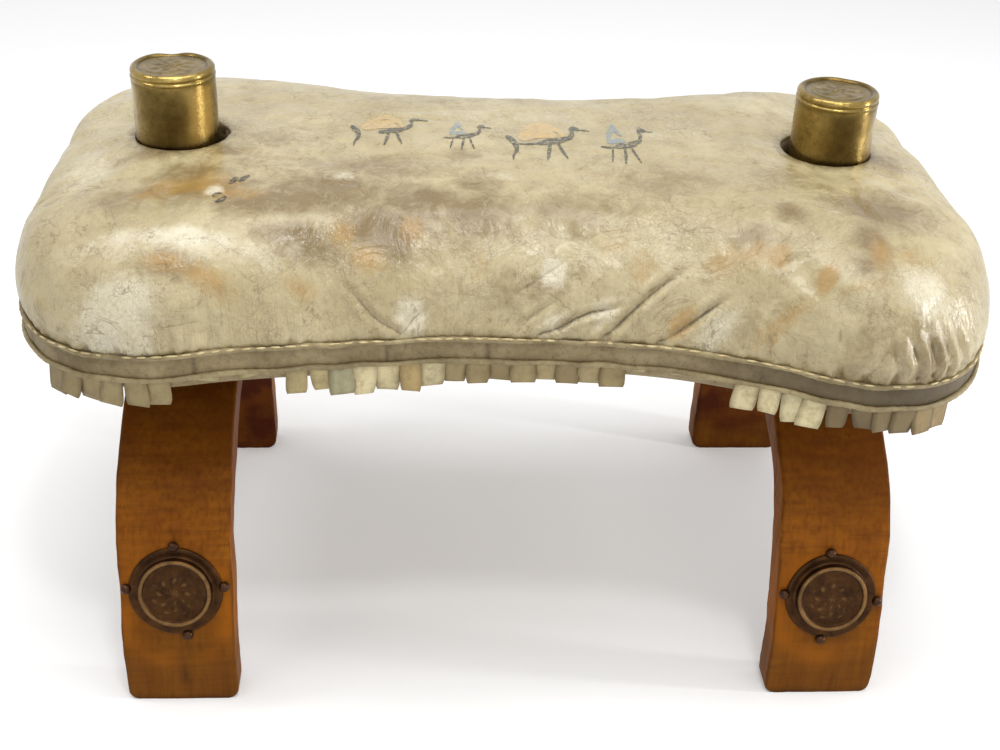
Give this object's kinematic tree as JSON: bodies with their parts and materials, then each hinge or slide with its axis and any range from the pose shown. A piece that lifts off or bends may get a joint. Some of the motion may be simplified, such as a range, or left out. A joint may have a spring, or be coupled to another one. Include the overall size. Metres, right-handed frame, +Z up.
{
  "type": "camel saddle stool",
  "caption": "Low saddle stool: two bent-wood arches with medallions, brass-capped posts, and a drawn-in stuffed leather cushion with fringe that lifts off the posts.",
  "frame": {"origin": "on the floor, in the middle of the four feet", "axes": "+X along the cushion to its right end as seen from the front, +Y from the front to the back, +Z up"},
  "size_m": [0.649, 0.3778, 0.4015],
  "materials": {
    "leg_wood": "satin",
    "inner_wood": "matte",
    "cap_brass": "satin",
    "medallion_metal": "satin",
    "nail_metal": "satin",
    "screw_steel": "satin",
    "painted_leather": "satin",
    "band_leather": "satin",
    "piping_leather": "satin",
    "fringe_leather": "matte",
    "stuffing_wadding": "matte"
  },
  "bodies": {
    "frame": {"left_front_leg": "leg_wood", "left_rear_leg": "leg_wood", "right_front_leg": "leg_wood", "right_rear_leg": "leg_wood", "left_post": "inner_wood", "right_post": "inner_wood", "left_post_wedge": "inner_wood", "right_post_wedge": "inner_wood", "left_lap_dowels": "inner_wood", "right_lap_dowels": "inner_wood", "left_post_cap": "cap_brass", "right_post_cap": "cap_brass", "front_side_rail": "inner_wood", "rear_side_rail": "inner_wood", "front_rail_screws": "screw_steel", "rear_rail_screws": "screw_steel", "left_front_medallion": "medallion_metal", "left_rear_medallion": "medallion_metal", "right_front_medallion": "medallion_metal", "right_rear_medallion": "medallion_metal", "left_front_nails": "nail_metal", "left_rear_nails": "nail_metal", "right_front_nails": "nail_metal", "right_rear_nails": "nail_metal"},
    "cushion": {"stuffing": "stuffing_wadding", "top_panel": "painted_leather", "side_band": "band_leather", "bottom_panel": "band_leather", "upper_piping": "piping_leather", "lower_piping": "piping_leather", "left_post_sleeve": "painted_leather", "right_post_sleeve": "painted_leather", "front_fringe": "fringe_leather", "rear_fringe": "fringe_leather", "left_fringe": "fringe_leather", "right_fringe": "fringe_leather"}
  },
  "joints": [
    {"name": "cushion_lift", "type": "slide", "parent": "frame", "child": "cushion", "axis": [0, 0, 1], "range_m": [0, 0.18]}
  ]
}
